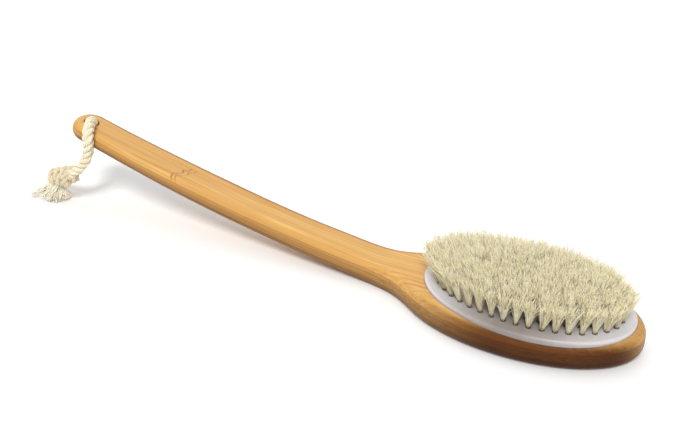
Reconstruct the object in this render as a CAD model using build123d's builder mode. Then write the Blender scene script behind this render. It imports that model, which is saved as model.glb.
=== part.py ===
from build123d import *

import os
from math import atan, atan2, cos, degrees, pi, radians, sin, tan

# A long-handled body dry brush lying on its back, bristles up.
# +X runs from the end of the handle to the tip of the head, Y is across, +Z is up.
# The origin is on the resting surface, under the middle of the brush.

# ---- Driving dimensions, in mm ----
LENGTH = 375.0              # end of handle to tip of head
HEAD_LENGTH = 137.2         # full axes of the oval head
HEAD_WIDTH = 78.0
HEAD_THICKNESS = 15.2
NECK_JOIN = 45.0            # degrees round the oval, from the neck, where the neck's curve meets it

HANDLE_WIDTH = 24.0         # at the end
HANDLE_THICKNESS = 12.0
HANDLE_SIDE = (             # place along X and width, from the grip to the neck
    (-125.0, 24.9),
    (-72.5, 24.8),
    (-17.5, 23.3),
    (18.5, 23.6),
    (42.5, 27.0),
    (55.5, 36.6),
)
EDGE_RADIUS = 5.6           # all round, top and bottom

RISE = 45.0                 # how far the back stands up at the end of the handle
BEND_LENGTH = 232.5         # from the end of the handle to where the back lies flat
BEND_POWER = 1.42           # the rise grows with this power of the distance
BEND_POINTS = 9
GLUE_LINES = (0.36, 0.72)   # between the three plies, as fractions of the thickness

PLATE_LENGTH = 117.0
PLATE_WIDTH = 72.8
PLATE_OFFSET = 4.9          # its centre is nearer the tip than the head's centre
PLATE_PROUD = 2.0           # above the wood
PLATE_RIM_RADIUS = 1.2
PLATE_GAP = 0.15            # all round, in its recess

RING_LENGTH = 102.0         # the outer ring of tufts, through their centres
RING_WIDTH = 56.6
RING_STEP = 6.75            # from one ring to the next
RING_COUNT = 4
MIDDLE_ROW_LENGTH = 33.5
TUFT_PITCH = 6.7            # along a ring
BRISTLE_HEIGHT = 17.5       # above the plate
CROWN_DROP = 2.0            # how much shorter the outermost tufts are
FAN_OUT_ENDS = 0.065        # how far the tips lean out, as a fraction of their distance
FAN_OUT_SIDES = 0.01
TUFT_ROOT_DIAMETER = 3.1
TUFT_MIDDLE_DIAMETER = 4.6
TUFT_TIP_DIAMETER = 5.3
TUFT_MIDDLE = 0.6           # how far up it has opened to its middle diameter
TUFT_HOLE_DIAMETER = 3.2
TUFT_HOLE_DEPTH = 4.6
TUFT_FOLD_GAP = 0.1         # between the folded bristle and the bottom of its hole

ANCHOR_LENGTH = 3.5         # longer than the hole is wide, so its ends bite the plate
ANCHOR_HEIGHT = 1.4
ANCHOR_THICKNESS = 0.5
ANCHOR_LIFT = 0.6           # bristle folded under the anchor

ROPE_DIAMETER = 6.0
HOLE_DIAMETER = 9.0
HOLE_EDGE_RADIUS = 1.5
ROPE_GAP = 0.4              # between the rope and the wood it passes over

HOLE_BEND_RADIUS = 6.0      # of the rope, into the hole
# The rope's route: from the knot, up the side, over the handle, down the hole and back to the knot.
ROPE_ROUTE = (
    (-180.0, -20.0, 22.4),
    (-169.6, -17.2, 30.0),
    (-165.6, -15.8, 41.0),
    (-164.6, -15.6, 54.3),
    (-173.1, 0.0, 56.6),
    (-177.6, 0.0, 40.0),
    (-173.6, -8.6, 31.5),
    (-179.5, -13.8, 22.4),
)
EDGE_CORNER = 3             # the route's corners that go round wood
HOLE_CORNER = 4

KNOT_LENGTH = 25.0
KNOT_THICKNESS = 13.5
KNOT_CENTRE = (-188.6, -17.5, 18.0)
KNOT_AXIS = (-28.0, -2.0, -11.0)        # the way the two ends leave it

TASSEL_NECK = (-196.5, -18.8)           # where it starts, inside the knot
TASSEL_NECK_HEIGHT = 13.5
TASSEL_NECK_RADIUS = 4.5
TASSEL_FOOT = (-201.0, -22.0)           # where its frayed ends spread
TASSEL_FOOT_HEIGHT = 0.4                # just clear of the resting surface
TASSEL_FOOT_LENGTH = 30.0
TASSEL_FOOT_WIDTH = 13.0
TASSEL_TURN = 16.0

BIG = 80.0                  # past everything here

# ---- Worked out from those ----
HANDLE_END = -LENGTH / 2
HEAD_CENTRE = LENGTH / 2 - HEAD_LENGTH / 2
FLAT_START = HANDLE_END + BEND_LENGTH
PLATE_CENTRE = HEAD_CENTRE + PLATE_OFFSET
PLATE_TOP = HEAD_THICKNESS + PLATE_PROUD
RECESS_FLOOR = HEAD_THICKNESS * GLUE_LINES[1]
TUFT_BOTTOM = PLATE_TOP - TUFT_HOLE_DEPTH + TUFT_FOLD_GAP

os.makedirs("parts", exist_ok=True)


def save(builder, name):
    """Label a finished piece and write it."""
    builder.part.label = name
    export_step(builder.part, f"parts/{name}.step")


# ---- The bamboo blank ----
def underside(x):
    """Height of the back above the resting surface."""
    return RISE * (max(FLAT_START - x, 0.0) / BEND_LENGTH) ** BEND_POWER


def slope(x):
    """How steeply the back rises there; it falls towards +X."""
    return -RISE * BEND_POWER / BEND_LENGTH * (max(FLAT_START - x, 0.0) / BEND_LENGTH) ** (BEND_POWER - 1)


def thickness(x):
    """The blank thickens smoothly from the end of the handle to the flat of the back."""
    s = min(max((x - HANDLE_END) / BEND_LENGTH, 0.0), 1.0)
    return HANDLE_THICKNESS + (HEAD_THICKNESS - HANDLE_THICKNESS) * s * s * (3 - 2 * s)


def side_curve(fraction):
    """Points along one level of the blank, from past the handle's end to the flat."""
    start = HANDLE_END - EDGE_RADIUS
    xs = [start + (FLAT_START - start) * i / (BEND_POINTS - 1) for i in range(BEND_POINTS)]
    return [(x, underside(x) + fraction * thickness(x)) for x in xs]


def side_view(lower, upper):
    """Draw the outline of the long curved band between two levels."""
    far = LENGTH / 2 + EDGE_RADIUS
    bottom = side_curve(lower)
    top = side_curve(upper)
    ends = [(1, slope(bottom[0][0])), (1, 0)]
    Spline(*bottom, tangents=ends)
    Polyline(bottom[-1], (far, bottom[-1][1]), (far, top[-1][1]), top[-1])
    Spline(*top, tangents=ends)
    Line(top[0], bottom[0])


def outer_edges(faces):
    """Outside edges of a group of neighbouring faces, without the seams between them."""
    edges = [edge for face in faces for edge in face.outer_wire().edges()]
    return [edge for edge in edges if edges.count(edge) == 1]


HANDLE_TILT = -slope(HANDLE_END + HANDLE_WIDTH / 2)
TILT_ANGLE = atan(HANDLE_TILT)
HALF_THICKNESS = HANDLE_THICKNESS / 2 * cos(TILT_ANGLE)
TIP_REACH = (
    EDGE_RADIUS
    + (HANDLE_WIDTH / 2 - EDGE_RADIUS) * cos(TILT_ANGLE)
    + (HALF_THICKNESS - EDGE_RADIUS) * sin(TILT_ANGLE)
)
HOLE_X = HANDLE_END + TIP_REACH
HOLE_CENTRE = (HOLE_X, 0, underside(HOLE_X) + thickness(HOLE_X) / 2)
HOLE_RADIUS = HOLE_DIAMETER / 2
HOLE_PLANE = Plane(HOLE_CENTRE, x_dir=(1, 0, -HANDLE_TILT), z_dir=(HANDLE_TILT, 0, 1))

neck_angle = radians(NECK_JOIN)
neck_point = (
    HEAD_CENTRE - HEAD_LENGTH / 2 * cos(neck_angle),
    HEAD_WIDTH / 2 * sin(neck_angle),
)
neck_direction = (HEAD_LENGTH * sin(neck_angle), HEAD_WIDTH * cos(neck_angle))

with BuildPart() as blank:
    with BuildSketch():
        with BuildLine():
            grip = Line(
                (HANDLE_END - EDGE_RADIUS, HANDLE_WIDTH / 2), (HOLE_X + EDGE_RADIUS, HANDLE_WIDTH / 2)
            )
            side_points = [(x, width / 2) for x, width in HANDLE_SIDE]
            Spline(grip @ 1, *side_points, neck_point, tangents=[(1, 0), neck_direction])
            EllipticalCenterArc(
                (HEAD_CENTRE, 0), HEAD_LENGTH / 2, HEAD_WIDTH / 2, start_angle=0, arc_size=180 - NECK_JOIN
            )
            mirror(about=Plane.XZ)
            Line(grip @ 0, (HANDLE_END - EDGE_RADIUS, -HANDLE_WIDTH / 2))
        make_face()
    extrude(amount=BIG)
    with BuildSketch(Plane.XZ):
        with BuildLine():
            side_view(0, 1)
        make_face()
    extrude(amount=BIG, both=True, mode=Mode.INTERSECT)
    # The end of the handle is rounded square to the handle, about the hole.
    with BuildSketch(HOLE_PLANE):
        Rectangle(BIG, BIG, align=(Align.MAX, Align.CENTER))
        Circle(HANDLE_WIDTH / 2, mode=Mode.SUBTRACT)
    extrude(amount=BIG, both=True, mode=Mode.SUBTRACT)
    upper_faces = [face for face in blank.faces() if face.normal_at().Z > 0.7]
    lower_faces = [face for face in blank.faces() if face.normal_at().Z < -0.7]
    fillet(outer_edges(upper_faces) + outer_edges(lower_faces), EDGE_RADIUS)
    # The hole for the rope, its edges eased where they meet both faces.
    with BuildSketch(Plane(HOLE_CENTRE, x_dir=HOLE_PLANE.x_dir, z_dir=(0, -1, 0))):
        with BuildLine():
            wall = Line((HOLE_RADIUS, 0), (HOLE_RADIUS, HALF_THICKNESS - HOLE_EDGE_RADIUS))
            flare = RadiusArc(wall @ 1, (HOLE_RADIUS + HOLE_EDGE_RADIUS, HALF_THICKNESS), HOLE_EDGE_RADIUS)
            Polyline(flare @ 1, (flare @ 1) + (0, HOLE_RADIUS), (0, HALF_THICKNESS + HOLE_RADIUS), (0, 0))
            mirror(about=Plane.XZ)
        make_face()
    revolve(axis=Axis(HOLE_CENTRE, HOLE_PLANE.z_dir), mode=Mode.SUBTRACT)
    # The recess for the bristle plate goes through the face ply.
    with BuildSketch(Plane.XY.offset(RECESS_FLOOR)):
        with Locations((PLATE_CENTRE, 0)):
            Ellipse(PLATE_LENGTH / 2 + PLATE_GAP, PLATE_WIDTH / 2 + PLATE_GAP)
    extrude(amount=BIG, mode=Mode.SUBTRACT)

# ---- The three bamboo plies, cut from the blank along its glue lines ----
BEYOND = 0.5                # past the face and the back, as a fraction of the thickness
ply_levels = {
    "back_ply": (-BEYOND, GLUE_LINES[0]),
    "core_ply": (GLUE_LINES[0], GLUE_LINES[1]),
    "face_ply": (GLUE_LINES[1], 1 + BEYOND),
}
for ply_name, (lower, upper) in ply_levels.items():
    with BuildPart() as ply:
        add(blank.part)
        with BuildSketch(Plane.XZ):
            with BuildLine():
                side_view(lower, upper)
            make_face()
        extrude(amount=BIG, both=True, mode=Mode.INTERSECT)
    save(ply, ply_name)

# ---- Where the tufts stand: oval rings round a middle row ----
tuft_places = []            # for each ring, a list of (x, y, angle across the ring)
for ring in range(RING_COUNT):
    semi_length = RING_LENGTH / 2 - ring * RING_STEP
    semi_width = RING_WIDTH / 2 - ring * RING_STEP
    oval = Edge.make_ellipse(semi_length, semi_width)
    count = round(oval.length / TUFT_PITCH)
    places = []
    for i in range(count):
        point = oval @ (i / count)
        direction = oval % (i / count)
        places.append((point.X, point.Y, degrees(atan2(direction.Y, direction.X))))
    tuft_places.append(places)
row_count = round(MIDDLE_ROW_LENGTH / TUFT_PITCH) + 1
tuft_places.append([(MIDDLE_ROW_LENGTH * (i / (row_count - 1) - 0.5), 0.0, 0.0) for i in range(row_count)])
RING_NAMES = [f"ring_{ring + 1}" for ring in range(RING_COUNT)] + ["middle_row"]

# ---- The bristle plate, with a blind hole for every tuft ----
with BuildPart() as plate:
    with BuildSketch(Plane.XY.offset(RECESS_FLOOR)):
        with Locations((PLATE_CENTRE, 0)):
            Ellipse(PLATE_LENGTH / 2, PLATE_WIDTH / 2)
    extrude(amount=PLATE_TOP - RECESS_FLOOR)
    fillet(plate.faces().sort_by(Axis.Z)[-1].edges(), PLATE_RIM_RADIUS)
    with BuildSketch(Plane.XY.offset(PLATE_TOP)):
        with Locations(*[(PLATE_CENTRE + x, y) for places in tuft_places for x, y, turn in places]):
            Circle(TUFT_HOLE_DIAMETER / 2)
    extrude(amount=-TUFT_HOLE_DEPTH, mode=Mode.SUBTRACT)
save(plate, "bristle_plate")


def anchor_at(x, y, turn):
    """A flat wire anchor across the bottom of a tuft hole."""
    with BuildPart() as anchor:
        with BuildSketch(Plane.XY.offset(TUFT_BOTTOM + ANCHOR_LIFT)):
            with Locations(Location((PLATE_CENTRE + x, y), turn)):
                Rectangle(ANCHOR_LENGTH, ANCHOR_THICKNESS)
        extrude(amount=ANCHOR_HEIGHT)
    return anchor.part


def tuft_at(x, y):
    """A bundle of bristle, folded in its hole and opening towards its tip."""
    reach = ((2 * x / RING_LENGTH) ** 2 + (2 * y / RING_WIDTH) ** 2) ** 0.5
    height = BRISTLE_HEIGHT - CROWN_DROP * reach**2
    sections = (
        (TUFT_ROOT_DIAMETER, 0.0),
        (TUFT_MIDDLE_DIAMETER, TUFT_MIDDLE),
        (TUFT_TIP_DIAMETER, 1.0),
    )
    with BuildPart() as tuft:
        with BuildSketch(Plane.XY.offset(TUFT_BOTTOM)):
            with Locations((PLATE_CENTRE + x, y)):
                Circle(TUFT_ROOT_DIAMETER / 2)
        extrude(amount=PLATE_TOP - TUFT_BOTTOM)
        for diameter, part_way in sections:
            lean_x = x * (1 + FAN_OUT_ENDS * part_way)
            lean_y = y * (1 + FAN_OUT_SIDES * part_way)
            with BuildSketch(Plane.XY.offset(PLATE_TOP + height * part_way)):
                with Locations((PLATE_CENTRE + lean_x, lean_y)):
                    Circle(diameter / 2)
        loft(ruled=True)
    return tuft.part


# ---- The tufts and their anchors, one node of each for every ring ----
for ring_name, places in zip(RING_NAMES, tuft_places):
    ring_anchors = [anchor_at(x, y, turn) for x, y, turn in places]
    with BuildPart() as anchors:
        add(ring_anchors)
    save(anchors, f"anchor_{ring_name}")
    with BuildPart() as tufts:
        add([tuft_at(x, y) for x, y, turn in places])
        add(ring_anchors, mode=Mode.SUBTRACT)
    save(tufts, f"bristle_{ring_name}")


# ---- The hanging rope, its knot and its tassel ----
def route_radii(points):
    """As large an arc at each corner as its two runs allow."""
    radii = []
    for before, corner, after in zip(points, points[1:], points[2:]):
        run_in = Vector(corner) - Vector(before)
        run_out = Vector(after) - Vector(corner)
        half_turn = radians(run_in.get_angle(run_out)) / 2
        radii.append(0.45 * min(run_in.length, run_out.length) / tan(half_turn))
    return radii


rope_radii = route_radii(ROPE_ROUTE)
rope_radii[EDGE_CORNER - 1] = EDGE_RADIUS + ROPE_GAP + ROPE_DIAMETER / 2
rope_radii[HOLE_CORNER - 1] = HOLE_BEND_RADIUS
print("rope radii", [round(radius, 1) for radius in rope_radii])

with BuildPart() as rope:
    with BuildLine() as route:
        FilletPolyline(*ROPE_ROUTE, radius=rope_radii)
    with BuildSketch(Plane(route.line @ 0, z_dir=route.line % 0)):
        Circle(ROPE_DIAMETER / 2)
    sweep()
save(rope, "hanging_rope")
rope_length = sum(edge.length for edge in route.edges())
rope_section = pi * ROPE_DIAMETER**2 / 4
print("rope length", round(rope_length, 1))
print("rope volume", round(rope.part.volume), "of", round(rope_section * rope_length))

with BuildPart() as knot:
    knot_side = Vector(KNOT_AXIS).cross(Vector(0, 0, 1))
    with BuildSketch(Plane(KNOT_CENTRE, x_dir=KNOT_AXIS, z_dir=knot_side)):
        Ellipse(KNOT_LENGTH / 2, KNOT_THICKNESS / 2)
        Rectangle(KNOT_LENGTH, KNOT_THICKNESS, align=(Align.CENTER, Align.MAX), mode=Mode.SUBTRACT)
    revolve(axis=Axis(KNOT_CENTRE, KNOT_AXIS))
save(knot, "rope_knot")

with BuildPart() as tassel:
    with BuildSketch(Plane.XY.offset(TASSEL_FOOT_HEIGHT)):
        with Locations(Location(TASSEL_FOOT, TASSEL_TURN)):
            Ellipse(TASSEL_FOOT_LENGTH / 2, TASSEL_FOOT_WIDTH / 2)
    with BuildSketch(Plane.XY.offset(TASSEL_NECK_HEIGHT)):
        with Locations(TASSEL_NECK):
            Circle(TASSEL_NECK_RADIUS)
    loft()
save(tassel, "rope_tassel")
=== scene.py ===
"""Looks of a bamboo body brush with white bristles and a hanging loop of cotton rope.

Metres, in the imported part's frame: +X from the handle's end to the head's tip, +Z up, table at Z = 0.
"""
import math

import bpy
import numpy as np
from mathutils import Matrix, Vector


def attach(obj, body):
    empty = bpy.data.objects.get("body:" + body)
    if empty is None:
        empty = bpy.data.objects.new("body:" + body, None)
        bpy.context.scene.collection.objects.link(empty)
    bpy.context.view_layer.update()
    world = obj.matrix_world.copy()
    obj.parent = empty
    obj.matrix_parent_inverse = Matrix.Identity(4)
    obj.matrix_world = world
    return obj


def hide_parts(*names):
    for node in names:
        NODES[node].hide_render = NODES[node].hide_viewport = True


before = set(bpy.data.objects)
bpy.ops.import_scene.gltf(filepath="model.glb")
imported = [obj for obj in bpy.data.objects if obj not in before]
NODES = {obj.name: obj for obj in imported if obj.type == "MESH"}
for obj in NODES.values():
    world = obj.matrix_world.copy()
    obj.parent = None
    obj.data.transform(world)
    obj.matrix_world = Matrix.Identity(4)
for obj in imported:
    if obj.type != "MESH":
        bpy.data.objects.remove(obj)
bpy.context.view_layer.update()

rng = np.random.default_rng(7)

# ---- The wood, the plate and the tufts, as the CAD has them ----
HANDLE_END = -0.1875
HANDLE_THICKNESS = 0.0120
HEAD_THICKNESS = 0.0152
RISE_START = 0.045          # where the flat back of the head starts to rise towards the handle's end
RISE = 0.045                # how far it has risen at the handle's end
RISE_POWER = 1.42
GLUE_LINES = (0.36, 0.72)   # as fractions of the thickness
PLATE_CENTRE = 0.1238
PLATE_HALF_LENGTH = 0.0585
PLATE_TOP = 0.0172
RING_LENGTH = 0.102         # full axes of the outer ring of tufts
RING_WIDTH = 0.0566
RING_STEP = 0.00675         # from each ring in to the next
RING_COUNT = 4
TUFT_PITCH = 0.0067
MIDDLE_ROW_LENGTH = 0.0335
BRISTLE_HEIGHT = 0.0175     # above the plate, in its middle
CROWN_DROP = 0.0020         # how much lower the outer ring is

# ---- Camera ----
camera = bpy.data.objects.new("camera", bpy.data.cameras.new("camera"))
bpy.context.scene.collection.objects.link(camera)
bpy.context.scene.camera = camera
camera.location = (0.2424, -0.4248, 0.3146)
aim = Vector((0.0086, -0.0003, 0.0345)) - camera.location
camera.rotation_euler = aim.to_track_quat("-Z", "Y").to_euler()
camera.data.sensor_width = 36.0
camera.data.lens = 51.35
camera.data.clip_start = 0.01


# ---- Swept tubes ----
def unit(vectors):
    return vectors / np.maximum(np.linalg.norm(vectors, axis=-1, keepdims=True), 1e-12)


def carried_frames(lines):
    """Directions along and across lines (count, steps, 3), carried along without turning."""
    along = unit(np.gradient(lines, axis=1))
    across = np.empty_like(lines)
    across[:, 0] = unit(np.cross(along[:, 0], (0.31, 0.9, 0.23)))
    for step in range(1, lines.shape[1]):
        before = across[:, step - 1]
        drift = np.sum(before * along[:, step], axis=-1, keepdims=True)
        across[:, step] = unit(before - drift * along[:, step])
    return along, across, np.cross(along, across)


def sweep(lines, radii, sides):
    """Vertices and faces of a closed round tube along each of the lines (count, steps, 3)."""
    lines = np.asarray(lines, float)
    radii = np.broadcast_to(radii, lines.shape[:2])
    count, steps, _ = lines.shape
    _, across, up = carried_frames(lines)
    turn = np.arange(sides) * 2 * np.pi / sides
    ring = across[:, :, None] * np.cos(turn)[:, None] + up[:, :, None] * np.sin(turn)[:, None]
    points = (lines[:, :, None] + ring * radii[:, :, None, None]).reshape(-1, 3)
    base = (np.arange(count) * steps * sides)[:, None, None]
    row = (np.arange(steps - 1) * sides)[:, None]
    side = np.arange(sides)
    after = (side + 1) % sides
    corners = [row + side, row + after, row + after + sides, row + side + sides]
    walls = np.stack([base + corner for corner in corners], axis=-1).reshape(-1, 4)
    starts = base[:, 0] + side[::-1]
    ends = base[:, 0] + (steps - 1) * sides + side
    return points, walls.tolist() + starts.tolist() + ends.tolist()


def piece(name, parts, material, body, slot, *nodes):
    """One mesh object made of (points, faces) parts, riding on a body in place of CAD nodes."""
    points, faces = [], []
    offset = 0
    for part_points, part_faces in parts:
        points.append(part_points)
        faces += [[corner + offset for corner in face] for face in part_faces]
        offset += len(part_points)
    mesh = bpy.data.meshes.new(name)
    mesh.from_pydata(np.concatenate(points).tolist(), [], faces)
    mesh.shade_smooth()
    mesh.materials.append(material)
    made = bpy.data.objects.new(name, mesh)
    bpy.context.scene.collection.objects.link(made)
    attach(made, body)
    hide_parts(*nodes)
    return made


# ---- Materials ----
class Graph:
    """A node material in the making. A socket or a plain value can feed any input."""

    def __init__(self, name):
        self.material = bpy.data.materials.new(name)
        self.material.use_nodes = True
        self.tree = self.material.node_tree
        self.shader = self.tree.nodes["Principled BSDF"]
        self.place = self.node("ShaderNodeTexCoord").outputs
        self.where = self.place["Object"]       # where its patterns are laid out

    def node(self, kind, inputs=(), **settings):
        made = self.tree.nodes.new(kind)
        for key, value in settings.items():
            setattr(made, key, value)
        for key, value in dict(inputs).items():
            self.feed(made.inputs[key], value)
        return made

    def feed(self, socket, value):
        if isinstance(value, bpy.types.NodeSocket):
            self.tree.links.new(value, socket)
        else:
            socket.default_value = value

    def set(self, **values):
        for key, value in values.items():
            self.feed(self.shader.inputs[key.replace("_", " ")], value)

    def math(self, operation, first, second=0.0):
        return self.node("ShaderNodeMath", {0: first, 1: second}, operation=operation).outputs[0]

    def ramp(self, value, low, high, to_low=0.0, to_high=1.0, smooth=True):
        """The value's way from low to high, as a number from to_low to to_high."""
        kind = "SMOOTHSTEP" if smooth else "LINEAR"
        made = self.node("ShaderNodeMapRange", {0: value, 1: low, 2: high, 3: to_low, 4: to_high},
                         interpolation_type=kind)
        return made.outputs[0]

    def mix(self, factor, first, second, blend="MIX"):
        made = self.node("ShaderNodeMix", {0: factor, 6: first, 7: second},
                         data_type="RGBA", blend_type=blend)
        return made.outputs[2]

    def noise(self, stretch, detail=3.0, roughness=0.5, shift=(0.0, 0.0, 0.0)):
        """Noise with this many features to the metre along each axis."""
        placed = self.node("ShaderNodeMapping", {0: self.where, 1: shift, 3: stretch})
        made = self.node("ShaderNodeTexNoise",
                         {0: placed.outputs[0], "Scale": 1.0, "Detail": detail, "Roughness": roughness})
        return made.outputs["Fac"]

    def bump(self, height, strength, distance):
        made = self.node("ShaderNodeBump",
                         {"Height": height, "Strength": strength, "Distance": distance})
        self.set(Normal=made.outputs[0])


def colour(red, green, blue):
    """A colour given as it looks on a screen, 0 to 255, as the light it gives."""
    def light(value):
        value /= 255
        return value / 12.92 if value < 0.04045 else ((value + 0.055) / 1.055) ** 2.4
    return (light(red), light(green), light(blue), 1.0)


STRIP_WIDTH = 0.0300
STRIP_START = 0.0152        # from the middle of the brush to a joint of the first ply
STRIP_STAGGER = 0.0110      # between the joints of one ply and those of the next
NODE_PLACE = -0.1040
NODE_SLANT = 0.42           # along the handle for each metre across it
NODE_WANDER = 0.009
NODE_SECOND_LINE = 0.0026   # from the first one
NODE_NEAR_END = (-0.0125, -0.0105)
NODE_FAR_END = (0.0042, 0.0028)


def bamboo(name, seed, tone, node_mark=False):
    """Pressed bamboo strips: fine fibres that follow the handle's bend, with painted shade on the long
    edges.
    """
    g = Graph(name)
    x, y, z = g.node("ShaderNodeSeparateXYZ", {0: g.place["Object"]}).outputs
    normal = g.node("ShaderNodeSeparateXYZ", {0: g.place["Normal"]}).outputs
    # height above the bent underside, so that the fibres run with the handle
    handle_length = RISE_START - HANDLE_END
    past = g.math("MAXIMUM", g.math("DIVIDE", g.math("SUBTRACT", RISE_START, x), handle_length), 0.0)
    above = g.math("SUBTRACT", z, g.math("MULTIPLY", g.math("POWER", past, RISE_POWER), RISE))
    g.where = g.node("ShaderNodeCombineXYZ", {0: x, 1: y, 2: above}).outputs[0]
    shift = (seed * 3.1, seed * 7.7, seed * 1.3)
    fibres = g.noise((11, 720, 720), detail=5, roughness=0.62, shift=shift)
    threads = g.noise((34, 2100, 2100), detail=2, shift=shift)
    bands = g.noise((3, 200, 200), detail=3, roughness=0.55, shift=shift)
    clouds = g.noise((12, 45, 45), detail=2, shift=shift)
    base = g.mix(g.ramp(bands, 0.32, 0.68), colour(*tone[0]), colour(*tone[1]))
    base = g.mix(g.ramp(clouds, 0.35, 0.7, 0.0, 0.5), base, colour(*tone[2]))
    base = g.mix(g.ramp(fibres, 0.5, 0.70, 0.0, 0.6), base, colour(*tone[3]))
    base = g.mix(g.ramp(threads, 0.6, 0.8, 0.0, 0.35), base, colour(*tone[3]))
    base = g.mix(g.ramp(fibres, 0.47, 0.30, 0.0, 0.75), base, colour(*tone[4]))
    # strips glued side by side, a little apart in tone, with a thin dark joint
    strip = g.math("DIVIDE", g.math("ADD", y, STRIP_START + STRIP_STAGGER * (seed - 1)), STRIP_WIDTH)
    number = g.node("ShaderNodeTexWhiteNoise", {"W": g.math("FLOOR", strip)},
                    noise_dimensions="1D").outputs["Value"]
    base = g.mix(g.ramp(number, 0.0, 1.0, 0.0, 0.22, smooth=False), base, colour(*tone[1]))
    beside = g.math("ABSOLUTE", g.math("SUBTRACT", g.math("FRACT", strip), 0.5))
    joint = g.ramp(beside, 0.489, 0.498, 0.0, 0.8)
    joint = g.math("MULTIPLY", joint, g.ramp(g.noise((22, 5, 5), shift=shift), 0.4, 0.6))
    base = g.mix(joint, base, colour(120, 70, 34))
    # the glue lines between the plies, at their share of the thickness
    toward_head = g.math("DIVIDE", g.math("SUBTRACT", x, HANDLE_END), handle_length)
    thick = g.ramp(toward_head, 0.0, 1.0, HANDLE_THICKNESS, HEAD_THICKNESS)
    share = g.math("DIVIDE", above, thick)
    edge_on = g.ramp(g.math("ABSOLUTE", normal[2]), 0.9, 0.45)
    for line in GLUE_LINES:
        away = g.math("ABSOLUTE", g.math("SUBTRACT", share, line))
        glue = g.math("MULTIPLY", g.ramp(away, 0.028, 0.008), g.math("MULTIPLY", edge_on, 0.30))
        base = g.mix(glue, base, colour(96, 52, 24))
    # painted shade: long edges darker than the faces, most of all round the head
    facing = g.math("ABSOLUTE", normal[1])
    # painted shade on faces that turn downwards
    painted_underside_shade = g.math("MULTIPLY", g.ramp(normal[2], 0.40, -0.30), g.ramp(normal[2], -1.0, -0.88))
    base = g.mix(painted_underside_shade, base, colour(182, 176, 176), "MULTIPLY")
    # painted shade on the head's long walls, on both sides
    painted_head_wall_shade = g.math("MULTIPLY", g.ramp(facing, 0.12, 0.75, 0.0, 0.93), g.ramp(x, 0.05, 0.12))
    base = g.mix(painted_head_wall_shade, base, colour(104, 66, 30), "MULTIPLY")
    # painted shade along the handle's far edge, where it turns away from the light
    painted_far_edge_shade = g.math("MULTIPLY", g.ramp(normal[1], 0.03, 0.36, 0.0, 0.75), g.ramp(x, 0.10, 0.04))
    base = g.mix(painted_far_edge_shade, base, colour(158, 130, 106), "MULTIPLY")
    # the head's tip a little darker
    base = g.mix(g.ramp(x, 0.155, 0.185, 0.0, 0.5), base, colour(214, 206, 206), "MULTIPLY")
    if node_mark:
        # the strip's node: a short double line across the grain, near the handle's middle
        wander = g.noise((50, 300, 1), detail=2, shift=(0.2, 0.1, 0))
        centre = g.math("ADD", g.math("MULTIPLY", wander, NODE_WANDER), g.math("MULTIPLY", y, NODE_SLANT))
        across = g.math("SUBTRACT", g.math("SUBTRACT", x, NODE_PLACE), centre)
        feather = g.noise((90, 700, 1), detail=3, roughness=0.7)
        line = g.math("ABSOLUTE", g.math("ADD", across, g.math("MULTIPLY", feather, 0.0016)))
        mark = g.ramp(line, 0.0010, 0.0003, 0.0, 0.85)
        second = g.math("ABSOLUTE", g.math("SUBTRACT", across, NODE_SECOND_LINE))
        mark = g.math("MAXIMUM", mark, g.ramp(second, 0.0010, 0.0003, 0.0, 0.55))
        patchy = g.ramp(g.noise((1, 330, 1), detail=2, shift=(0, 0.3, 0)), 0.36, 0.54, 0.3, 1.0)
        reach = g.math("MULTIPLY", g.ramp(y, *NODE_NEAR_END), g.ramp(y, *NODE_FAR_END))
        mark = g.math("MULTIPLY", g.math("MULTIPLY", mark, patchy), reach)
        base = g.mix(mark, base, colour(160, 100, 48))
    g.set(Base_Color=base, Specular_IOR_Level=g.ramp(facing, 0.1, 0.7, 0.28, 0.12))
    g.set(Roughness=g.ramp(fibres, 0.25, 0.75, 0.40, 0.54))
    g.bump(g.math("ADD", fibres, g.math("MULTIPLY", threads, 0.6)), 0.35, 0.00022)
    return g.material


def milky_plastic():
    """Translucent plastic, with painted shade that greys its middle and fades towards its ends."""
    g = Graph("milky_plastic")
    x, _, z = g.node("ShaderNodeSeparateXYZ", {0: g.place["Object"]}).outputs
    haze = g.noise((60, 60, 60), detail=3)
    grime = g.noise((420, 420, 900), detail=4, roughness=0.65)
    # painted shade: the middle is grey, as if shaded by the tufts, and pales towards the ends
    along = g.math("DIVIDE", g.math("SUBTRACT", x, PLATE_CENTRE), PLATE_HALF_LENGTH)
    ends = g.ramp(g.math("ABSOLUTE", along), 0.10, 0.92)
    base = g.mix(g.ramp(haze, 0.35, 0.65), colour(146, 138, 134), colour(156, 148, 145))
    base = g.mix(ends, base, colour(212, 209, 212))
    # darker at the plate's foot, where it meets the wood, in patches
    low = g.ramp(z, HEAD_THICKNESS + 0.0011, HEAD_THICKNESS - 0.0001, 0.0, 0.5)
    base = g.mix(g.math("MULTIPLY", low, g.ramp(grime, 0.35, 0.7, 0.55, 1.0)), base, colour(150, 142, 146))
    base = g.mix(g.ramp(grime, 0.62, 0.8, 0.0, 0.15), base, colour(160, 148, 136))
    g.set(Base_Color=base, Subsurface_Weight=0.2, Subsurface_Scale=0.003, Specular_IOR_Level=0.42)
    g.set(Roughness=g.ramp(grime, 0.3, 0.7, 0.28, 0.40))
    g.bump(g.noise((900, 900, 900), detail=2), 0.08, 0.0001)
    return g.material


def drawn_wire():
    """Bright drawn steel, for the anchors in the tuft holes."""
    g = Graph("drawn_wire")
    drawn = g.noise((1800, 1800, 260), detail=3)
    base = g.mix(drawn, colour(150, 152, 155), colour(196, 197, 199))
    g.set(Base_Color=base, Metallic=1.0, Roughness=g.ramp(drawn, 0.3, 0.7, 0.26, 0.44))
    g.bump(drawn, 0.2, 0.00005)
    return g.material


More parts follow.
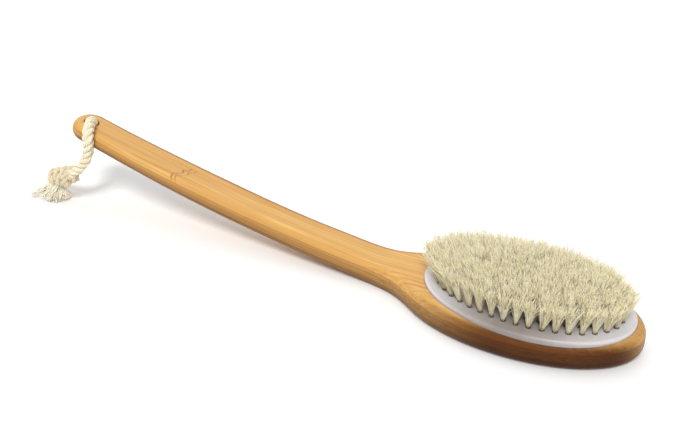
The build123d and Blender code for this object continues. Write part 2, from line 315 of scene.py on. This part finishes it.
def boar_bristle():
    """Cream bristle: a few brown hairs among pale ones, with painted shade towards the root and in the
    inner rows.
    """
    g = Graph("boar_bristle")
    which = g.node("ShaderNodeNewGeometry").outputs["Random Per Island"]
    x, y, z = g.node("ShaderNodeSeparateXYZ", {0: g.place["Object"]}).outputs
    tones = g.node("ShaderNodeValToRGB", {0: which})
    stops = ((0.0, (140, 114, 74)), (0.09, (196, 172, 126)), (0.16, (240, 228, 184)),
             (0.6, (255, 246, 206)), (1.0, (255, 253, 232)))
    ramp = tones.color_ramp
    while len(ramp.elements) < len(stops):
        ramp.elements.new(0.5)
    for element, (where, shade) in zip(ramp.elements, stops):
        element.position = where
        element.color = colour(*shade)
    along = g.noise((700, 700, 160), detail=3)
    base = g.mix(g.ramp(along, 0.35, 0.75, 0.0, 0.14), tones.outputs[0], colour(196, 176, 132))
    # painted shade towards the roots, down between the tufts
    base = g.mix(g.ramp(z, 0.024, 0.0175, 0.0, 0.3), base, colour(196, 180, 146), "MULTIPLY")
    # painted shade of the inner rows, below their tips
    along_head = g.math("DIVIDE", g.math("SUBTRACT", x, PLATE_CENTRE), RING_LENGTH / 2)
    across_head = g.math("DIVIDE", y, RING_WIDTH / 2)
    outward = g.math("ADD", g.math("MULTIPLY", along_head, along_head),
                     g.math("MULTIPLY", across_head, across_head))
    painted_inner_shade = g.math("MULTIPLY", g.ramp(outward, 0.92, 0.70), g.ramp(z, 0.0325, 0.0250, 0.0, 0.88))
    base = g.mix(painted_inner_shade, base, colour(134, 114, 78), "MULTIPLY")
    g.set(Base_Color=base, Roughness=g.ramp(along, 0.3, 0.7, 0.38, 0.55))
    g.set(Specular_IOR_Level=0.4, Subsurface_Weight=0.0, Sheen_Weight=0.35, Sheen_Roughness=0.4)
    g.bump(along, 0.1, 0.00005)
    return g.material


def cotton(name, pale, shade):
    """Undyed cotton yarn: soft, finely fibrous, each yarn a touch apart in tone."""
    g = Graph(name)
    which = g.node("ShaderNodeNewGeometry").outputs["Random Per Island"]
    lint = g.noise((1500, 1500, 1500), detail=4, roughness=0.65)
    soil = g.noise((130, 130, 130), detail=2)
    base = g.mix(g.ramp(lint, 0.3, 0.7), colour(*shade), colour(*pale))
    base = g.mix(g.ramp(which, 0.0, 1.0, 0.0, 0.3, smooth=False), base, colour(*shade))
    base = g.mix(g.ramp(soil, 0.45, 0.75, 0.0, 0.22), base, colour(206, 184, 140))
    g.set(Base_Color=base, Roughness=0.92, Specular_IOR_Level=0.2)
    g.set(Sheen_Weight=0.35, Sheen_Roughness=0.6)
    g.bump(lint, 0.6, 0.00025)
    return g.material


FACE_TONES = ((206, 156, 88), (214, 168, 99), (204, 150, 82), (176, 122, 62), (230, 190, 122))
CORE_TONES = ((200, 150, 86), (210, 162, 96), (196, 142, 78), (166, 112, 56), (222, 182, 116))
BACK_TONES = ((198, 148, 84), (208, 160, 94), (194, 140, 76), (164, 110, 56), (222, 180, 114))
PLY_LOOKS = {
    "face_ply": bamboo("bamboo_face", 1.0, FACE_TONES, node_mark=True),
    "core_ply": bamboo("bamboo_core", 2.0, CORE_TONES),
    "back_ply": bamboo("bamboo_back", 3.0, BACK_TONES),
}
plastic = milky_plastic()
wire = drawn_wire()
bristle = boar_bristle()
rope_cotton = cotton("cotton_rope", (252, 246, 226), (232, 220, 186))
# the knot's cotton is a darker copy of the rope's: painted shade for its creases
knot_cotton_painted_shade = cotton("cotton_knot_painted_shade", (244, 234, 208), (212, 196, 160))
# the tassel's cotton is a paler copy of the rope's: painted light against the knot's shade
tassel_cotton_painted_light = cotton("cotton_tassel_painted_light", (255, 253, 240), (249, 240, 214))

for name, node in NODES.items():
    look = PLY_LOOKS.get(name) or (plastic if name == "bristle_plate" else wire)
    for material_slot in node.material_slots:
        material_slot.material = look

# ---- The rope, from the knot over the handle's edge, down its hole and back to the knot ----
ROPE_ROUTE = (
    (-0.1800, -0.0200, 0.0224), (-0.1696, -0.0172, 0.0300), (-0.1656, -0.0158, 0.0410),
    (-0.1646, -0.0156, 0.0543), (-0.1731, 0.0, 0.0566), (-0.1776, 0.0, 0.0400),
    (-0.1736, -0.0086, 0.0315), (-0.1795, -0.0138, 0.0224),
)
ROPE_DIAMETER = 0.006
ROPE_PITCH = 0.0135         # along the rope for one turn of a strand
ROPE_SWELL = 0.17           # how much plumper the cotton is at the top, away from the knot
SWELL_FROM = 0.026          # the heights where it starts to swell and has done
SWELL_DONE = 0.048
LINT_THICKNESS = 0.00003


def smooth_line(name, route, spacing):
    """Evenly spaced points read from a NURBS spline with these control points."""
    curve = bpy.data.curves.new(name, "CURVE")
    curve.dimensions = "3D"
    curve.resolution_u = 24
    spline = curve.splines.new("NURBS")
    spline.points.add(len(route) - 1)
    for point, place in zip(spline.points, route):
        point.co = (*place, 1.0)
    spline.order_u = 3
    spline.use_endpoint_u = True
    holder = bpy.data.objects.new(name, curve)
    mesh = bpy.data.meshes.new_from_object(holder)
    points = np.array([vertex.co for vertex in mesh.vertices])
    bpy.data.objects.remove(holder)
    bpy.data.meshes.remove(mesh)
    lengths = np.linalg.norm(np.diff(points, axis=0), axis=1)
    reached = np.concatenate([[0.0], np.cumsum(lengths)])
    steps = max(int(round(reached[-1] / spacing)), 8)
    wanted = np.linspace(0.0, reached[-1], steps + 1)
    return np.stack([np.interp(wanted, reached, points[:, axis]) for axis in range(3)], axis=1)


STRAND_OFFSET = 0.50        # all as fractions of the rope's radius
STRAND_RADIUS = 0.36
YARN_RADIUS = 0.185
YARN_TWIST = 1.4            # turns of a yarn in its strand, against each turn of the strand


def laid_rope(line, radius, pitch, phase=0.0, strands=3, yarns=7):
    """Yarn centre lines and radii of a rope laid from strands, each a bundle of yarns."""
    radius = np.broadcast_to(radius, len(line))[:, None]
    _, across, up = (part[0] for part in carried_frames(line[None]))
    travelled = np.concatenate([[0.0], np.cumsum(np.linalg.norm(np.diff(line, axis=0), axis=1))])
    lines, radii = [], []
    for strand in range(strands):
        turn = (phase + 2 * np.pi * (strand / strands + travelled / pitch))[:, None]
        outward = across * np.cos(turn) + up * np.sin(turn)
        around = up * np.cos(turn) - across * np.sin(turn)
        centre = line + outward * radius * STRAND_OFFSET
        for yarn in range(yarns):
            spin = (2 * np.pi * (yarn / yarns - YARN_TWIST * travelled / pitch) + strand)[:, None]
            bulge = radius * STRAND_RADIUS * (1 + 0.05 * rng.standard_normal())
            lines.append(centre + (outward * np.cos(spin) + around * np.sin(spin)) * bulge)
            radii.append((radius * YARN_RADIUS * (1 + 0.08 * rng.standard_normal()))[:, 0])
        lines.append(centre)
        radii.append((radius * STRAND_RADIUS)[:, 0])
    return np.array(lines), np.array(radii)


def lint(surface, middle, count, length, thickness):
    """Loose fibres that stand off a surface, given points on it and the middle of each."""
    chosen = rng.integers(0, len(surface), count)
    root = surface[chosen]
    outward = unit(root - middle[chosen])
    drift = unit(outward * 0.6 + rng.standard_normal((count, 3)) * 0.7)
    bend = rng.standard_normal((count, 3)) * 0.5
    reach = length * (0.35 + rng.random((count, 1, 1)))
    way = np.linspace(0.0, 1.0, 6)[None, :, None]
    lines = root[:, None] + reach * (drift[:, None] * way + bend[:, None] * way**2)
    taper = thickness * (1.0 - 0.7 * way[:, :, 0])
    return sweep(lines, taper, 3)


rope_line = smooth_line("rope_line", ROPE_ROUTE, 0.0005)
above_knot = np.clip((rope_line[:, 2] - SWELL_FROM) / (SWELL_DONE - SWELL_FROM), 0.0, 1.0)
rope_radius = ROPE_DIAMETER / 2 * (1.02 + ROPE_SWELL * above_knot)
yarn_lines, yarn_radii = laid_rope(rope_line, rope_radius, ROPE_PITCH)
rope_middle = np.broadcast_to(rope_line, yarn_lines.shape).reshape(-1, 3)
rope = piece(
    "rope_loop",
    [sweep(yarn_lines, yarn_radii, 7),
     lint(yarn_lines.reshape(-1, 3), rope_middle, 420, 0.0014, LINT_THICKNESS)],
    rope_cotton, "hanging_cord", "cotton_rope", "hanging_rope",
)

# ---- The knot: both ends of the loop wound round each other ----
KNOT_CENTRE = np.array((-0.1886, -0.0175, 0.0180))
KNOT_AXIS = unit(np.array((-28.0, -2.0, -11.0)))
KNOT_LENGTH = 0.025
KNOT_RADIUS = 0.0066
KNOT_PITCH = 0.0125         # of the strands in the wound rope
CORE_FROM, CORE_TO, CORE_RADIUS = -0.0110, 0.0075, 0.0042
LEG_RADIUS = 0.0028
WRAP_STEPS = 150
knot_side = unit(np.cross(KNOT_AXIS, (0.0, 0.0, 1.0)))
knot_up = np.cross(knot_side, KNOT_AXIS)


def knot_point(along, out, turn):
    """A point at a distance along the knot's axis and out from it, at an angle round it."""
    round_it = knot_side * np.cos(turn)[:, None] + knot_up * np.sin(turn)[:, None] * 1.02
    return KNOT_CENTRE + KNOT_AXIS * along[:, None] + round_it * out[:, None]


def knot_wrap(start, turns, along_from, along_to, thick, lean, proud):
    """One rope wound round the knot, each turn leaning."""
    way = np.linspace(0.0, 1.0, WRAP_STEPS)
    turn = start + 2 * np.pi * turns * way
    along = along_from + (along_to - along_from) * way + lean * np.sin(turn + 0.6)
    swell = np.sqrt(np.clip(1.0 - (along / (KNOT_LENGTH * 0.62)) ** 2, 0.05, 1.0))
    uneven = 1 + 0.05 * np.sin(3.1 * turn + start)
    out = (KNOT_RADIUS - thick) * swell * uneven + proud * np.sin(np.pi * way)
    return knot_point(along, out, turn)


knot_parts = []
wraps = (
    # start angle, turns, from and to along the axis, thickness, lean, how far it stands out
    (0.4, 2.6, -0.0112, 0.0040, 0.0026, 0.0012, 0.0),
    (2.4, 0.85, -0.0075, 0.0098, 0.0025, 0.0, 0.0016),
    (4.3, 1.3, 0.0042, 0.0112, 0.0024, 0.0016, 0.0004),
)
for start, turns, along_from, along_to, thick, lean, proud in wraps:
    line = knot_wrap(start, turns, along_from, along_to, thick, lean, proud)
    lines, radii = laid_rope(line, thick, KNOT_PITCH, phase=start)
    knot_parts.append(sweep(lines, radii, 6))
    middle = np.broadcast_to(line, lines.shape).reshape(-1, 3)
    knot_parts.append(lint(lines.reshape(-1, 3), middle, 160, 0.0016, LINT_THICKNESS))
core_way = np.linspace(CORE_FROM, CORE_TO, 40)
core_line = KNOT_CENTRE + KNOT_AXIS * core_way[:, None]
core_radius = CORE_RADIUS * np.sqrt(1.0 - (core_way / (KNOT_LENGTH / 2)) ** 2)
knot_parts.append(sweep(*laid_rope(core_line, core_radius, 0.014, yarns=6), 6))
# both ends of the loop go on into the knot
for leg in (0, -1):
    inward = rope_line[leg] + (KNOT_CENTRE - rope_line[leg]) * np.linspace(-0.15, 1.0, 24)[:, None]
    knot_parts.append(sweep(*laid_rope(inward, LEG_RADIUS, ROPE_PITCH, phase=2.0 * leg, yarns=6), 6))
knot = piece("rope_knot_wraps", knot_parts, knot_cotton_painted_shade, "hanging_cord", "cotton_rope", "rope_knot")

# ---- The tassel: the rope's ends unlaid below the knot ----
TASSEL_NECK = np.array((-0.1955, -0.0187, 0.0150))
NECK_RADIUS = 0.0036
FAN_FOOT = np.array((-0.1968, -0.0212, 0.0006))     # the middle of the fan on the table, its reach and turn
FAN_REACH = (0.0106, 0.0060)
FAN_TURN = math.radians(27.0)
WISP_FOOT = np.array((-0.2115, -0.0262, 0.0012))    # the same for a few stray yarns beside it
WISP_REACH = (0.0028, 0.0012)
WISP_TURN = math.radians(10.0)


def tassel_strands(count, thickness, sides, foot_place, reach, foot_turn, waver):
    """Yarns that leave the knot together, fan out and end at the table."""
    long_way = np.array((math.cos(foot_turn), math.sin(foot_turn), 0.0))
    wide_way = np.array((-math.sin(foot_turn), math.cos(foot_turn), 0.0))
    angle = rng.random(count) * 2 * np.pi
    out = np.sqrt(rng.random(count))[:, None]
    ray = np.stack([np.cos(angle), np.sin(angle)], axis=1) * out
    root = TASSEL_NECK + (knot_side * ray[:, :1] + knot_up * ray[:, 1:]) * NECK_RADIUS
    root = root - KNOT_AXIS * 0.003 * rng.random((count, 1))
    foot = foot_place + long_way * ray[:, :1] * reach[0] + wide_way * ray[:, 1:] * reach[1]
    foot[:, 2] += thickness + rng.random(count) ** 2 * 0.0040
    shoulder = root + KNOT_AXIS * 0.0020 + (foot - root) * (0.14, 0.14, 0.25)
    knee = foot + (root - foot) * (0.42, 0.42, 0.30)
    way = np.linspace(0.0, 1.0, 18)[None, :, None]
    rest = 1.0 - way
    lines = (root[:, None] * rest**3 + 3 * shoulder[:, None] * rest**2 * way
             + 3 * knee[:, None] * rest * way**2 + foot[:, None] * way**3)
    phase = rng.random((count, 1, 3)) * 6.3
    lines = lines + waver * np.sin(way * (5 + 4 * rng.random((count, 1, 1))) + phase) * way
    lines[:, :, 2] = np.maximum(lines[:, :, 2], thickness + 0.0003)
    taper = thickness * (1.0 - 0.25 * way[:, :, 0]) * (0.8 + 0.4 * rng.random((count, 1)))
    return sweep(lines, taper, sides)


fan = (FAN_FOOT, FAN_REACH, FAN_TURN)
wisp = (WISP_FOOT, WISP_REACH, WISP_TURN)
tassel = piece(
    "rope_tassel_yarns",
    [tassel_strands(80, 0.00050, 6, *fan, 0.0006), tassel_strands(240, 0.00014, 4, *fan, 0.0012),
     tassel_strands(8, 0.00032, 6, *wisp, 0.0008), tassel_strands(34, 0.00011, 4, *wisp, 0.0012)],
    tassel_cotton_painted_light, "hanging_cord", "cotton_rope", "rope_tassel",
)

# ---- The bristles: real hairs from every hole of the plate ----
LEAN_NEAR_HANDLE = 0.125    # how far the tips lean out, as a fraction of their distance
LEAN_TIP = 0.045
LEAN_NEAR_SIDE = 0.0
LEAN_FAR_SIDE = 0.050
HAIRS_IN_A_TUFT = 140
HAIR_RADIUS = 0.000155
ROOT_RADIUS = 0.00055       # of the circle of hair roots in a hole
ROOT_DEPTH = 0.0012         # below the top of the plate
SPLAY = 0.0036              # the radius of a tuft's opened tip
SPLAY_SCATTER = 0.0004
TUFT_SCATTER = 0.00045      # of a whole tuft's lean
TIP_SCATTER = 0.0008        # of each hair
BEND_SCATTER = 0.00035
CURL_SCATTER = 0.0016


def ring_places(ring):
    """Centres of a ring's tufts, equally spaced round its oval."""
    semi_length = RING_LENGTH / 2 - ring * RING_STEP
    semi_width = RING_WIDTH / 2 - ring * RING_STEP
    turn = np.linspace(0.0, 2 * np.pi, 4001)
    oval = np.stack([semi_length * np.cos(turn), semi_width * np.sin(turn)], axis=1)
    lengths = np.linalg.norm(np.diff(oval, axis=0), axis=1)
    reached = np.concatenate([[0.0], np.cumsum(lengths)])
    count = round(reached[-1] / TUFT_PITCH)
    wanted = reached[-1] * np.arange(count) / count
    return np.stack([np.interp(wanted, reached, oval[:, axis]) for axis in range(2)], axis=1)


def hairs(places, count):
    """Bristle hairs of these tufts: narrow at the root, opened and ragged at the tip."""
    tufts = len(places)
    centre = np.repeat(places, count, axis=0)
    total = tufts * count
    angle = rng.random(total) * 2 * np.pi
    out = np.sqrt(rng.random(total))
    ray = np.stack([np.cos(angle), np.sin(angle)], axis=1)
    reach2 = (2 * centre[:, 0] / RING_LENGTH) ** 2 + (2 * centre[:, 1] / RING_WIDTH) ** 2
    height = BRISTLE_HEIGHT - CROWN_DROP * reach2 + 0.0006 * rng.standard_normal(total)
    height -= np.where(rng.random(total) < 0.2, 0.0045 * rng.random(total), 0.0)
    height += np.where(rng.random(total) < 0.03, 0.0014 * rng.random(total), 0.0)
    root = centre + ray * (out * ROOT_RADIUS)[:, None]
    splay = SPLAY + SPLAY_SCATTER * np.repeat(rng.standard_normal(tufts), count)
    lean_ends = np.where(centre[:, 0] < 0, LEAN_NEAR_HANDLE, LEAN_TIP)
    lean_sides = np.where(centre[:, 1] < 0, LEAN_NEAR_SIDE, LEAN_FAR_SIDE)
    lean = centre * np.stack([lean_ends, lean_sides], axis=1)
    lean = lean + np.repeat(rng.normal(0, TUFT_SCATTER, (tufts, 2)), count, axis=0)
    tip = centre + lean + ray * (1.0, 0.85) * (out * splay)[:, None]
    tip = tip + rng.normal(0, TIP_SCATTER, (total, 2))
    way = np.linspace(0.0, 1.0, 6)[None, :]
    grow = way**1.2
    bend = rng.normal(0, BEND_SCATTER, (total, 2))[:, None, :] * (way * (1 - way) * 4)[:, :, None]
    curl = rng.normal(0, CURL_SCATTER, (total, 2))[:, None, :] * (way**3)[:, :, None]
    flat = root[:, None] + (tip - root)[:, None] * grow[:, :, None] + bend + curl
    rise = PLATE_TOP - ROOT_DEPTH + (height + ROOT_DEPTH)[:, None] * way
    lines = np.concatenate([flat + np.array((PLATE_CENTRE, 0.0)), rise[:, :, None]], axis=2)
    taper = HAIR_RADIUS * (1.0 - 0.62 * way**2) * (0.8 + 0.6 * rng.random((total, 1)))
    return sweep(lines, taper, 3)


tuft_places = {f"ring_{ring + 1}": ring_places(ring) for ring in range(RING_COUNT)}
row_count = round(MIDDLE_ROW_LENGTH / TUFT_PITCH) + 1
row_x = MIDDLE_ROW_LENGTH * (np.arange(row_count) / (row_count - 1) - 0.5)
tuft_places["middle_row"] = np.stack([row_x, np.zeros(row_count)], axis=1)
for name, places in tuft_places.items():
    piece(f"boar_hairs_{name}", [hairs(places, HAIRS_IN_A_TUFT)], bristle,
          "brush", "boar_bristle", f"bristle_{name}")

# ---- Floor and light ----
FLOOR_REACH = 12.0
floor_mesh = bpy.data.meshes.new("floor")
floor_corners = [(FLOOR_REACH * x, FLOOR_REACH * y, 0) for x, y in ((-1, -1), (1, -1), (1, 1), (-1, 1))]
floor_mesh.from_pydata(floor_corners, [], [(0, 1, 2, 3)])
floor = bpy.data.objects.new("floor", floor_mesh)
bpy.context.scene.collection.objects.link(floor)
floor_look = Graph("studio_floor")
floor_look.set(Base_Color=(0.93, 0.93, 0.93, 1.0), Roughness=0.9, Specular_IOR_Level=0.1)
floor_mesh.materials.append(floor_look.material)


def soft_sun(name, toward, energy, angle, tint):
    """A far, wide light that comes from the direction toward."""
    light = bpy.data.objects.new(name, bpy.data.lights.new(name, "SUN"))
    bpy.context.scene.collection.objects.link(light)
    light.data.energy = energy
    light.data.angle = math.radians(angle)
    light.data.color = tint
    light.rotation_euler = (-Vector(toward)).to_track_quat("-Z", "Y").to_euler()


soft_sun("front_softbox", (0.26, -0.66, 1.0), 2.0, 20, (1.0, 0.99, 0.97))
soft_sun("back_softbox", (-0.60, 0.45, 1.0), 1.10, 80, (0.99, 1.0, 1.0))

world = bpy.data.worlds.new("studio")
bpy.context.scene.world = world
world.use_nodes = True
world.node_tree.nodes["Background"].inputs[0].default_value = (0.98, 0.99, 1.0, 1.0)
world.node_tree.nodes["Background"].inputs[1].default_value = 0.47
bpy.context.scene.view_settings.view_transform = "Standard"
